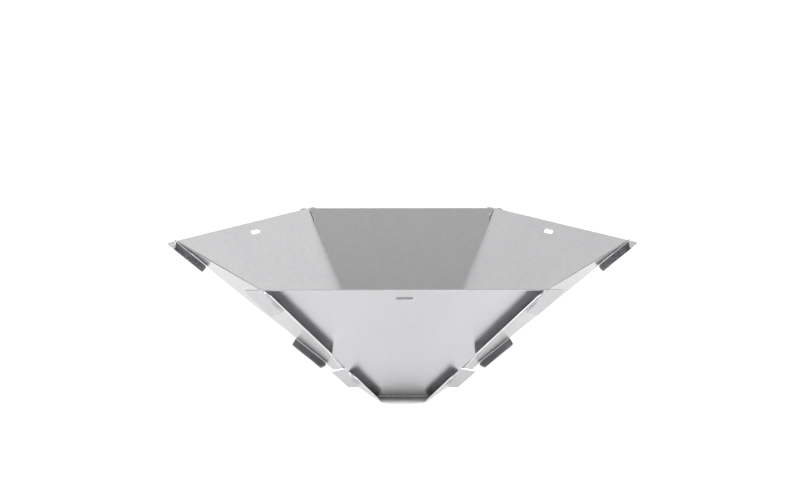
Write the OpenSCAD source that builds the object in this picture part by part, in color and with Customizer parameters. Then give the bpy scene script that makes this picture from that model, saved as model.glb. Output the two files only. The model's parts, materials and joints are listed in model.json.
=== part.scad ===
// Plug-together hexagonal fire bowl of flat sheet steel.
// Three hook panels and three slot panels alternate around the bowl and lock at six leaning corner seams.
// A loose base plate lies on the slot panels and is held down by the hook panels.
// Millimetres, +Z up. The origin is on the ground, on the axis of the bowl.

/* [Bowl] */
// Rim width across opposite corners
rim_across = 600; // [520:5:720]
// Base width across opposite corners
base_across = 150; // [130:1:190]
// Slope of the panels above the ground, in degrees
slope = 45; // [40:1:50]
// Height of the base line above the ground, which only the slot panels reach below
foot = 2.6; // [1:0.1:6]
// Thickness of the sheet steel
sheet = 1.5; // [1:0.1:3]

/* [Joint] */
// Free space beside a sheet that passes through a slot
slot_clearance = 0.8; // [0.2:0.05:1.2]
// Free space between a hook and the slot bottom that it sits on, and between stacked pieces
seat_gap = 0.3; // [0.2:0.05:0.5]
// Depth of the upper slots below the rim, along the seam
upper_slot = 26; // [20:0.5:32]
// Depth of the lower slots below the top of their prong, along the seam
lower_slot = 22; // [16:0.5:28]
// Height of the lower slot bottom above the base corner, along the seam
lower_seat_height = 63.5; // [50:0.5:80]

/* [Hook panels] */
// Reach of a hook past the seam
hook_reach = 18; // [16:0.5:26]
// Length of the upper hook's lip below its seat, along the seam
upper_lip = 26.5; // [20:0.5:34]
// Length of the lower hook's lip below its seat, along its outer edge
lower_lip = 21.5; // [18:0.5:30]
// How much further the lower hook's lip reaches down along its inner edge
lower_lip_drop = 6; // [0:0.5:8]
// Height of the lower hook above its seat, along the seam
lower_neck = 29; // [20:0.5:34]
// Radius of the outer corners of a hook
hook_corner = 2.5; // [1:0.5:7]
// Radius of the lead-in at the foot of a lip
lip_round = 4; // [2:0.5:7]
// Width of the grip slot under the rim
grip_slot_w = 20; // [14:1:40]
// Height of the grip slot under the rim
grip_slot_h = 7; // [5:0.5:12]
// Distance of the grip slot's middle below the rim
grip_slot_drop = 17; // [12:1:40]

/* [Slot panels] */
// Width of the fin past the seam
fin_w = 16; // [12:0.5:20]
// Length of seam without a fin above the notch for the lower hook
fin_step = 12; // [6:0.5:20]
// How much further up the seam the fin ends at its outer edge than at the seam
fin_slant = 18; // [6:0.5:24]
// Radius of the lead-in at the top of a prong
prong_round = 7; // [2:0.5:7.5]
// Radius of the fin's corner where it ends above the notch
fin_corner = 2; // [0.5:0.5:4]

/* [Base plate] */
// Height of the underside of the base plate above the base line
plate_lift = 2.5; // [1.5:0.1:6]
// Thickness of the base plate
plate_sheet = 2; // [1.5:0.1:3]
// Number of drain holes
drain_count = 6; // [3:1:8]
// Diameter of a drain hole
drain_d = 8; // [5:0.5:12]
// Diameter of the circle that the drain holes lie on
drain_circle = 70; // [60:1:84]

/* [Hidden] */
$fn = 64;

sides = 6;
turn = 360 / sides;
arc_steps = 6;
// Radius of the laser-cut inner corners, twice the beam's kerf
cut_round = 0.6;
steel = [0.80, 0.80, 0.81];
brushed_steel = [0.74, 0.74, 0.75];

// Half lengths of a panel's rim and base, its slope length and its lean away from the slope line
rim_half = rim_across / 4;
base_half = base_across / 4;
base_apothem = base_across / 2 * cos(turn / 2);
slope_length = (rim_across - base_across) / 2 * cos(turn / 2) / cos(slope);
lean = atan2(rim_half - base_half, slope_length);
seam_length = norm([rim_half - base_half, slope_length]);

// Angle between two neighbouring sheets, and half the width that one takes up in the other at the seam
fold = acos(pow(sin(slope), 2) * cos(turn) + pow(cos(slope), 2));
crossing = sheet / 2 / tan(fold / 2);
slot_half = crossing + slot_clearance;

// Places along the seam, measured down from the rim
upper_seat = upper_slot;
lower_seat = seam_length - lower_seat_height;
prong_top = lower_seat - lower_slot;
lower_hook_top = lower_seat - lower_neck;
// The hook panels slide up by an upper slot's depth before they come free, so the notch is that much taller
slide_travel = upper_slot;
notch_top = lower_hook_top - slide_travel - seat_gap - cut_round;
fin_foot = notch_top - fin_step;
fin_end = fin_foot - fin_slant;
upper_lip_end = upper_seat + upper_lip;
lower_lip_end = lower_seat + lower_lip;

// Levels in a panel, measured up the slope from the base line
rim_level = slope_length;
slot_bottom_level = (sheet / 2 * cos(slope) - foot) / sin(slope);
plate_top = plate_lift + plate_sheet;
hook_bottom_level = (plate_top + seat_gap + sheet / 2 * cos(slope)) / sin(slope);

// Distances from the axis of the bowl to the sides of the base plate
plate_slot_side = base_apothem + plate_lift / tan(slope) - sheet / 2 / sin(slope) - seat_gap;
plate_hook_side = base_apothem + hook_bottom_level * cos(slope) + sheet / 2 * sin(slope);
plate_sides = [plate_slot_side, plate_hook_side];

// A point in a panel: past is the distance outwards across the seam, down the distance along it from the rim
function seam_point(past, down) = [
    rim_half - down * sin(lean) + past * cos(lean),
    slope_length - down * cos(lean) - past * sin(lean)
];
// The point at that distance past the seam on a level line of the panel
function level_point(past, level) =
    seam_point(past, (slope_length - level - past * sin(lean)) / cos(lean));

function unit(v) = v / norm(v);
function cross_z(a, b) = a[0] * b[1] - a[1] * b[0];

// The corner at b between a and c, turned into an arc of radius r
function corner_arc(a, b, c, r) =
    let (
        back = unit(a - b),
        on = unit(c - b),
        half = acos(back * on) / 2,
        centre = b + unit(back + on) * r / sin(half),
        first = b + back * r / tan(half) - centre,
        sweep = (180 - 2 * half) * (cross_z(-back, on) > 0 ? 1 : -1),
        start = atan2(first[1], first[0])
    )
    r == 0 ? [b] : [
        for (i = [0 : arc_steps])
            centre + r * [cos(start + sweep * i / arc_steps), sin(start + sweep * i / arc_steps)]
    ];

// An outline from corners, each a point and the radius of its arc
function rounded_outline(corners) =
    let (n = len(corners))
    [
        for (i = [0 : n - 1])
            each corner_arc(
                corners[(i + n - 1) % n][0], corners[i][0], corners[(i + 1) % n][0], corners[i][1])
    ];

// The corners of one side from the rim down, followed by their mirror images from the base up
function both_sides(corners) = concat(
    corners,
    [for (i = [len(corners) - 1 : -1 : 0]) [[-corners[i][0][0], corners[i][0][1]], corners[i][1]]]
);

hook_side = [
    [level_point(hook_reach, rim_level), hook_corner],
    [seam_point(hook_reach, upper_lip_end), hook_corner],
    [seam_point(slot_half, upper_lip_end), lip_round],
    [seam_point(slot_half, upper_seat - seat_gap), cut_round],
    [seam_point(-slot_half, upper_seat - seat_gap), cut_round],
    [seam_point(-slot_half, lower_hook_top), cut_round],
    [seam_point(hook_reach, lower_hook_top), hook_corner],
    [seam_point(hook_reach, lower_lip_end), hook_corner],
    [seam_point(slot_half, lower_lip_end + lower_lip_drop), lip_round],
    [seam_point(slot_half, lower_seat - seat_gap), cut_round],
    [seam_point(-slot_half, lower_seat - seat_gap), cut_round],
    [level_point(-slot_half, hook_bottom_level), 0]
];

slot_side = [
    [level_point(-slot_half, rim_level), cut_round],
    [seam_point(-slot_half, upper_seat), cut_round],
    [seam_point(slot_half, upper_seat), cut_round],
    [level_point(slot_half, rim_level), cut_round],
    [level_point(fin_w, rim_level), prong_round],
    [seam_point(fin_w, fin_end), fin_corner],
    [seam_point(crossing, fin_foot), cut_round],
    [seam_point(crossing, notch_top), cut_round],
    [seam_point(-slot_half, notch_top), cut_round],
    [seam_point(-slot_half, lower_seat), cut_round],
    [seam_point(slot_half, lower_seat), cut_round],
    [seam_point(slot_half, prong_top), cut_round],
    [seam_point(fin_w, prong_top), prong_round],
    [level_point(fin_w, slot_bottom_level), 0]
];

// A slot with round ends, centred
module round_slot(w, h) {
    square([w - h, h], center = true);
    for (end = [-1, 1])
        translate([end * (w - h) / 2, 0])
            circle(d = h);
}

// Stands a flat panel on its base line at the slope, facing the direction that is heading degrees from +Y
module lean_panel(heading) {
    rotate([0, 0, heading])
        translate([0, base_apothem, foot])
            rotate([slope, 0, 0])
                linear_extrude(sheet, center = true)
                    children();
}

module hook_panel(heading) {
    color(steel)
        lean_panel(heading)
            difference() {
                polygon(rounded_outline(both_sides(hook_side)));
                translate([0, rim_level - grip_slot_drop])
                    round_slot(grip_slot_w, grip_slot_h);
            }
}

module slot_panel(heading) {
    color(steel)
        lean_panel(heading)
            polygon(rounded_outline(both_sides(slot_side)));
}

// The half plane that ends at a distance from the axis in the direction +Y, drawn as far as the plate needs
module half_plane(distance) {
    translate([-base_across, -base_across])
        square([2 * base_across, base_across + distance]);
}

// The base plate is a hexagon whose sides face the slot panels and the hook panels in turn
module base_plate() {
    color(brushed_steel)
        translate([0, 0, foot + plate_lift])
            linear_extrude(plate_sheet)
                difference() {
                    intersection_for (i = [0 : sides - 1])
                        rotate(i * turn)
                            half_plane(plate_sides[i % 2]);
                    for (i = [0 : drain_count - 1])
                        rotate(i * 360 / drain_count)
                            translate([drain_circle / 2, 0])
                                circle(d = drain_d);
                }
}

hook_panel(3 * turn);  // front_hook_panel
hook_panel(turn);  // rear_left_hook_panel
hook_panel(-turn);  // rear_right_hook_panel
slot_panel(0);  // rear_slot_panel
slot_panel(2 * turn);  // front_left_slot_panel
slot_panel(-2 * turn);  // front_right_slot_panel
base_plate();
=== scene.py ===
# Plug-together steel fire bowl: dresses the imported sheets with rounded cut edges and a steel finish
import json
import math

import bpy
import numpy as np
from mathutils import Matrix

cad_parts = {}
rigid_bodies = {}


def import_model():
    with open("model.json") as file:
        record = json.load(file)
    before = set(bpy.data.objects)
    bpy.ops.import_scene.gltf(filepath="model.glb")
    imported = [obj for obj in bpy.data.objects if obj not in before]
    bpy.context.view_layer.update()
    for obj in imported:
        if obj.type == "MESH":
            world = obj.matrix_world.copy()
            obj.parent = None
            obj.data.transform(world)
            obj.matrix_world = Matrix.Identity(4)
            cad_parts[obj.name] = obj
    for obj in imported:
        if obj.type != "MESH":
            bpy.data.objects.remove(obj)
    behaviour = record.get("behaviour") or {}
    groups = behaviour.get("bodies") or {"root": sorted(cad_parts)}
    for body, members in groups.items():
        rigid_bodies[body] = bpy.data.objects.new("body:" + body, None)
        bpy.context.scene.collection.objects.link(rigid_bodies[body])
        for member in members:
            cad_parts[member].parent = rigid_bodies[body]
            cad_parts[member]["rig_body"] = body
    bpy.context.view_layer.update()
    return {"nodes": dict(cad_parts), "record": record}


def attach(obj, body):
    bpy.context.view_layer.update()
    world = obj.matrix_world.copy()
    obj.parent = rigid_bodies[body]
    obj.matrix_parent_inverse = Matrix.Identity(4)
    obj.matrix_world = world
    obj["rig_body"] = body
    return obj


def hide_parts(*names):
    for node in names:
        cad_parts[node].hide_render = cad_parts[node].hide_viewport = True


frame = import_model()
print("frame loaded:", len(frame["nodes"]), "sheets")


# Shader maths: a Wire is an output socket, and an expression on wires adds its Math nodes
class Wire:
    def __init__(self, tree, socket):
        self.tree = tree
        self.socket = socket

    # A new node with its settings and sockets filled in, as the wire of one of its outputs
    def make(self, kind, settings, sockets, output=0):
        node = self.tree.nodes.new(kind)
        for name, value in settings.items():
            setattr(node, name, value)
        for name, value in sockets.items():
            if isinstance(value, Wire):
                self.tree.links.new(value.socket, node.inputs[name])
            else:
                node.inputs[name].default_value = value
        return Wire(self.tree, node.outputs[output])

    def maths(self, operation, first, second):
        return self.make("ShaderNodeMath", {"operation": operation}, {0: first, 1: second})

    def __add__(self, other):
        return self.maths("ADD", self, other)

    def __radd__(self, other):
        return self.maths("ADD", other, self)

    def __sub__(self, other):
        return self.maths("SUBTRACT", self, other)

    def __rsub__(self, other):
        return self.maths("SUBTRACT", other, self)

    def __mul__(self, other):
        return self.maths("MULTIPLY", self, other)

    def __rmul__(self, other):
        return self.maths("MULTIPLY", other, self)

    # A vector times fixed amounts along its three axes
    def stretched(self, amounts):
        return self.make("ShaderNodeVectorMath", {"operation": "MULTIPLY"}, {0: self, 1: amounts})

    # A smooth step from 0 at low to 1 at high
    def between(self, low, high):
        return self.make("ShaderNodeMapRange", {"interpolation_type": "SMOOTHSTEP"},
                         {"Value": self, "From Min": low, "From Max": high})

    # One colour fading into another by this wire
    def tint(self, first, second):
        return self.make("ShaderNodeMix", {"data_type": "RGBA"}, {0: self, 6: first, 7: second}, 2)

    def noise(self, scale, detail, roughness):
        return self.make("ShaderNodeTexNoise", {},
                         {"Vector": self, "Scale": scale, "Detail": detail, "Roughness": roughness})


# Satin stainless sheet. Stripes are counted per metre along, up and through the sheet.
# A noise is given by its scale, detail and roughness, and a span by where its smooth step starts and ends.
steelLook = {
    "tone": (0.40, 0.40, 0.408, 1.0),
    "brightTone": (0.44, 0.44, 0.448, 1.0),
    "cutTone": (0.62, 0.62, 0.63, 1.0),
    "cutShade": (0.55, 0.55, 0.56, 1.0),
    "grazing": (0.84, 0.84, 0.84, 1.0),
    "smear": 0.85,
    "grainStripes": (30.0, 2600.0, 0.0),
    "grainNoise": (1.0, 3.0, 0.6),
    "cloudNoise": (9.0, 3.0, 0.5),
    "mottleNoise": (150.0, 2.0, 0.5),
    "cutStripes": (1900.0, 1900.0, 90.0),
    "cutNoise": (1.0, 2.0, 0.6),
    "noiseMiddle": 0.5,
    "grainShare": 0.35,
    "cloudShare": 0.35,
    "mottleShare": 0.3,
    "toneSpan": (0.3, 0.7),
    "cutSpan": (0.3, 0.65),
    "roughness": 0.23,
    "grainRoughness": 0.05,
    "cloudRoughness": 0.04,
    "cutRoughness": 0.28,
    "cutVariation": 0.04,
}
# The base plate's cut edge is painted near black: painted shade for the shadow at the bowl's foot
basePaintedShadeLook = dict(
    steelLook,
    cutTone=(0.15, 0.15, 0.156, 1.0),
    cutShade=(0.11, 0.11, 0.114, 1.0),
    cutRoughness=0.4,
)


def steelFinish(name, look, upSlope):
    material = bpy.data.materials.new(name)
    material.use_nodes = True
    tree = material.node_tree
    shader = tree.nodes["Principled BSDF"]
    shader.inputs["Metallic"].default_value = 1.0
    shader.inputs["Specular Tint"].default_value = look["grazing"]
    shader.inputs["Anisotropic"].default_value = look["smear"]
    start = Wire(tree, None)
    place = start.make("ShaderNodeAttribute", {"attribute_name": "sheetPlace"}, {}, "Vector")
    cut = start.make("ShaderNodeAttribute", {"attribute_name": "cutEdge"}, {}, "Fac")
    grain = place.stretched(look["grainStripes"]).noise(*look["grainNoise"])
    clouds = place.noise(*look["cloudNoise"])
    mottle = place.noise(*look["mottleNoise"])
    striation = place.stretched(look["cutStripes"]).noise(*look["cutNoise"])
    # Each tone is a weighted sum of noises, stepped smoothly from the darker colour to the lighter one
    tone = grain * look["grainShare"] + clouds * look["cloudShare"] + mottle * look["mottleShare"]
    faceColour = tone.between(*look["toneSpan"]).tint(look["tone"], look["brightTone"])
    cutColour = striation.between(*look["cutSpan"]).tint(look["cutShade"], look["cutTone"])
    colour = cut.tint(faceColour, cutColour)
    # Each roughness is its own level plus the noises' distance from their middle, a little of each
    middle = look["noiseMiddle"]
    faceRough = (look["roughness"] + (grain - middle) * look["grainRoughness"]
                 + (clouds - middle) * look["cloudRoughness"])
    cutRough = look["cutRoughness"] + (striation - middle) * look["cutVariation"]
    rough = faceRough * (1 - cut) + cutRough * cut
    # The rolling grooves run level, so mirror images smear up and down the slope
    smear = start.make("ShaderNodeCombineXYZ", {}, dict(zip("XYZ", upSlope.tolist())))
    tree.links.new(colour.socket, shader.inputs["Base Color"])
    tree.links.new(rough.socket, shader.inputs["Roughness"])
    tree.links.new(smear.socket, shader.inputs["Tangent"])
    return material


# How a packed sheet is read: decimals that make corners equal, the slight preference for the
# underside of a level sheet, the least lean of a slope, and how squarely a flat face has to face outwards
sheetReading = {"decimals": 7, "underside": 1e-6, "leastLean": 0.01, "squareness": 0.999}


# The corners and triangles of a packed sheet, with equal corners made one
def sheetMesh(node, reading):
    mesh = node.data
    corners = np.empty(len(mesh.vertices) * 3)
    mesh.vertices.foreach_get("co", corners)
    triangles = np.empty(len(mesh.polygons) * 3, int)
    mesh.polygons.foreach_get("vertices", triangles)
    corners = np.round(corners.reshape(-1, 3), reading["decimals"])
    spots, merged = np.unique(corners, axis=0, return_inverse=True)
    triangles = merged.ravel()[triangles].reshape(-1, 3)
    keep = (triangles != np.roll(triangles, 1, axis=1)).all(axis=1)
    return spots, triangles[keep]


# The sheet's own axes: outwards through the sheet, level along it, and up its slope.
# Outwards is the normal (b - a) x (c - a) of the largest triangle, turned away from the bowl's axis.
def sheetAxes(spots, triangles, reading):
    a, b, c = spots[triangles].transpose(1, 0, 2)
    across = np.cross(b - a, c - a)
    sizes = np.linalg.norm(across, axis=1)
    outward = across[sizes.argmax()] / sizes.max()
    middle = spots.mean(axis=0)
    away = np.array([middle[0], middle[1], -reading["underside"]])
    outward = outward * np.sign(outward @ away)
    level = np.cross(outward, [0.0, 0.0, 1.0])
    lean = np.linalg.norm(level)
    level = level / lean if lean > reading["leastLean"] else np.array([1.0, 0.0, 0.0])
    return outward, level, np.cross(level, outward)


# Rounded cut edge of a sheet: radius of its two arrises, how many steps each arris takes, the length
# from which a stretch of the outline is shaded as straight, and the angle in degrees of a sharp edge
edgeShape = {"arris": 0.00022, "steps": 3, "straight": 0.002, "sharpAngle": 40.0}


# A sheet whose rim is an edge profile carried along the outline of its flat face.
# Profile: inset r(1 - sin t) and depth r(1 - cos t) for t from 0 to 90 degrees, then the same back
# to the other face.
# At each outline corner the inset runs along the mitre (n1 + n2) / (1 + n1.n2) of the inward
# normals of its two edges.
def dressSheet(name, node, look, shape, reading):
    spots, triangles = sheetMesh(node, reading)
    outward, level, upSlope = sheetAxes(spots, triangles, reading)
    a, b, c = spots[triangles].transpose(1, 0, 2)
    facing = np.cross(b - a, c - a)
    facing = facing / np.linalg.norm(facing, axis=1)[:, None]
    face = triangles[facing @ outward > reading["squareness"]]
    thickness = np.ptp(spots @ outward)
    # Outline edges are those that no second triangle of the face runs along
    edges = np.concatenate([face, np.roll(face, -1, axis=1)]).reshape(2, -1).T
    count = len(spots)
    there = edges[:, 0] * count + edges[:, 1]
    back = edges[:, 1] * count + edges[:, 0]
    outline = edges[~np.isin(back, there)]
    ring = np.unique(face)
    place = np.full(count, -1)
    place[ring] = np.arange(len(ring))
    following = np.empty(len(ring), int)
    following[place[outline[:, 0]]] = place[outline[:, 1]]
    before = np.empty(len(ring), int)
    before[following] = np.arange(len(ring))
    path = spots[ring]
    along = path[following] - path
    inward = np.cross(outward, along)
    inward = inward / np.linalg.norm(inward, axis=1)[:, None]
    mitre = inward + inward[before]
    mitre = mitre / (1.0 + (inward * inward[before]).sum(axis=1))[:, None]
    turn = np.linspace(0.0, math.pi / 2, shape["steps"] + 1)
    inset = shape["arris"] * (1 - np.sin(turn))
    depth = shape["arris"] * (1 - np.cos(turn))
    inset = np.concatenate([inset, inset[::-1]])
    depth = np.concatenate([depth, thickness - depth[::-1]])
    rows = path[None] + inset[:, None, None] * mitre[None] - depth[:, None, None] * outward
    levels, width = rows.shape[:2]
    column = np.arange(width)
    step = np.arange(levels - 1)[:, None] * width
    strip = np.stack(
        [step + column, step + width + column, step + width + following, step + following], -1)
    frontFaces = place[face]
    backFaces = frontFaces[:, ::-1] + (levels - 1) * width
    vertices = rows.reshape(-1, 3)
    faces = strip.reshape(-1, 4).tolist() + frontFaces.tolist() + backFaces.tolist()
    mesh = bpy.data.meshes.new(name)
    mesh.from_pydata(vertices.tolist(), [], faces)
    mesh.set_sharp_from_angle(angle=math.radians(shape["sharpAngle"]))
    # Straight stretches keep their own shading up to their ends
    rungs = np.empty(len(mesh.edges) * 2, int)
    mesh.edges.foreach_get("vertices", rungs)
    rungs = rungs.reshape(-1, 2) % width
    straight = np.linalg.norm(along, axis=1) > shape["straight"]
    sharp = np.empty(len(mesh.edges), bool)
    mesh.edges.foreach_get("use_edge_sharp", sharp)
    sharp |= (rungs[:, 0] == rungs[:, 1]) & (straight | straight[before])[rungs[:, 0]]
    mesh.edges.foreach_set("use_edge_sharp", sharp)
    smooth = np.zeros(len(faces), bool)
    smooth[:strip.shape[0] * strip.shape[1]] = True
    mesh.polygons.foreach_set("use_smooth", smooth)
    # What the finish reads: the place in the sheet's own axes, and 1 on the cut edge
    sheetPlace = np.stack([vertices @ level, vertices @ upSlope, vertices @ outward], -1)
    placeData = mesh.attributes.new("sheetPlace", "FLOAT_VECTOR", "POINT").data
    placeData.foreach_set("vector", sheetPlace.ravel())
    onCut = np.zeros((levels, width))
    onCut[1:-1] = 1.0
    cutData = mesh.attributes.new("cutEdge", "FLOAT", "POINT").data
    cutData.foreach_set("value", onCut.ravel())
    mesh.materials.append(steelFinish(name + "_steel", look, upSlope))
    piece = bpy.data.objects.new(name, mesh)
    bpy.context.scene.collection.objects.link(piece)
    return piece


slots = {entry["node"]: entry["material_slot"] for entry in frame["record"]["subparts"]}
looks = {"panel_steel": steelLook, "base_steel": basePaintedShadeLook}
for nodeName, node in frame["nodes"].items():
    piece = dressSheet(nodeName + "_sheet", node, looks[slots[nodeName]], edgeShape, sheetReading)
    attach(piece, node["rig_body"])
    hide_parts(nodeName)
print("sheets dressed")


# Pale floor: a wide disc, with corners at (r cos t, r sin t) for t around the circle
floorLook = {"radius": 1.6, "corners": 96, "tone": (0.95, 0.95, 0.95, 1.0), "roughness": 0.9}


def paleFloor(look):
    turn = np.linspace(0.0, 2 * math.pi, look["corners"], endpoint=False)
    rim = np.stack([np.cos(turn), np.sin(turn), 0 * turn], -1) * look["radius"]
    mesh = bpy.data.meshes.new("floor")
    mesh.from_pydata(rim.tolist(), [], [list(range(len(rim)))])
    material = bpy.data.materials.new("paleFloor")
    material.use_nodes = True
    shader = material.node_tree.nodes["Principled BSDF"]
    shader.inputs["Base Color"].default_value = look["tone"]
    shader.inputs["Roughness"].default_value = look["roughness"]
    mesh.materials.append(material)
    floor = bpy.data.objects.new("floor", mesh)
    bpy.context.scene.collection.objects.link(floor)


paleFloor(floorLook)

# Studio: surroundings that are bright near the horizon and overhead, two low panels towards the sides
# and a low card in front that light the floor under the bowl, and two wide rear panels that the inside
# of the bowl mirrors.
# A panel is given by its bearing from the front in degrees, its distance and height in metres, the
# width and height of its face, and its power in watts.
studio = {
    "horizon": 1.37,
    "middle": 0.15,
    "zenith": 1.06,
    "fade": (0.14, 0.28),
    "crown": (0.86, 0.97),
    "aim": (0.0, 0.0, 0.05),
    "panels": [
        {"name": "frontLeftPanel", "bearing": -69.0, "distance": 2.4, "height": 1.0,
         "face": (1.2, 1.0), "power": 104.0},
        {"name": "frontRightPanel", "bearing": 69.0, "distance": 2.4, "height": 1.0,
         "face": (1.2, 1.0), "power": 94.0},
        {"name": "frontCard", "bearing": 0.0, "distance": 2.3, "height": 0.15,
         "face": (2.0, 0.5), "power": 24.0},
        {"name": "rearLeftPanel", "bearing": -137.0, "distance": 2.0, "height": 1.75,
         "face": (2.6, 1.5), "power": 14.6},
        {"name": "rearRightPanel", "bearing": 137.0, "distance": 2.0, "height": 1.75,
         "face": (2.6, 1.5), "power": 16.8},
    ],
}


# Turns a lamp or camera at a place towards a target
def aimed(thing, place, target):
    thing.location = place
    direction = thing.location.copy()
    direction[:] = np.subtract(target, place)
    thing.rotation_euler = direction.to_track_quat("-Z", "Y").to_euler()


# Brightness of the surroundings: horizon level up to the first height of the fade, then smoothly to
# the middle level, and from the first height of the crown smoothly to the zenith level
def lightStudio(setup):
    world = bpy.data.worlds.new("studio")
    world.use_nodes = True
    backing = world.node_tree.nodes["Background"]
    start = Wire(world.node_tree, None)
    direction = start.make("ShaderNodeTexCoord", {}, {}, "Generated")
    height = direction.make("ShaderNodeSeparateXYZ", {}, {0: direction}, "Z")
    fall = setup["middle"] - setup["horizon"]
    rise = setup["zenith"] - setup["middle"]
    glow = setup["horizon"] + fall * height.between(*setup["fade"])
    glow = glow + rise * height.between(*setup["crown"])
    world.node_tree.links.new(glow.socket, backing.inputs["Strength"])
    backing.inputs["Color"].default_value = (1.0, 1.0, 1.0, 1.0)
    bpy.context.scene.world = world
    for panel in setup["panels"]:
        light = bpy.data.lights.new(panel["name"], "AREA")
        light.shape = "RECTANGLE"
        light.size, light.size_y = panel["face"]
        light.energy = panel["power"]
        lamp = bpy.data.objects.new(panel["name"], light)
        lamp.visible_camera = False
        bpy.context.scene.collection.objects.link(lamp)
        bearing = math.radians(panel["bearing"])
        place = (panel["distance"] * math.sin(bearing), -panel["distance"] * math.cos(bearing),
                 panel["height"])
        aimed(lamp, place, setup["aim"])


lightStudio(studio)

# Camera fitted to the photograph's 800 by 504 frame: focal length and centre in its pixels, sensor
# width in millimetres, distances in metres, angles in degrees
view = {"frameWidth": 800, "focal": 913.5, "centreX": 402.8, "sensor": 36.0, "distance": 1.216,
        "tilt": 12.21, "bearing": -0.45, "lookHeight": 0.182}


def photoCamera(setup):
    lens = bpy.data.cameras.new("photoCamera")
    lens.sensor_width = setup["sensor"]
    lens.lens = setup["sensor"] * setup["focal"] / setup["frameWidth"]
    lens.shift_x = 0.5 - setup["centreX"] / setup["frameWidth"]
    camera = bpy.data.objects.new("photoCamera", lens)
    bpy.context.scene.collection.objects.link(camera)
    tilt, bearing = math.radians(setup["tilt"]), math.radians(setup["bearing"])
    reach = setup["distance"] * math.cos(tilt)
    place = (reach * math.sin(bearing), -reach * math.cos(bearing),
             setup["lookHeight"] + setup["distance"] * math.sin(tilt))
    aimed(camera, place, (0.0, 0.0, setup["lookHeight"]))
    bpy.context.scene.camera = camera


photoCamera(view)
bpy.context.scene.view_settings.view_transform = "Standard"
print("studio and camera set")
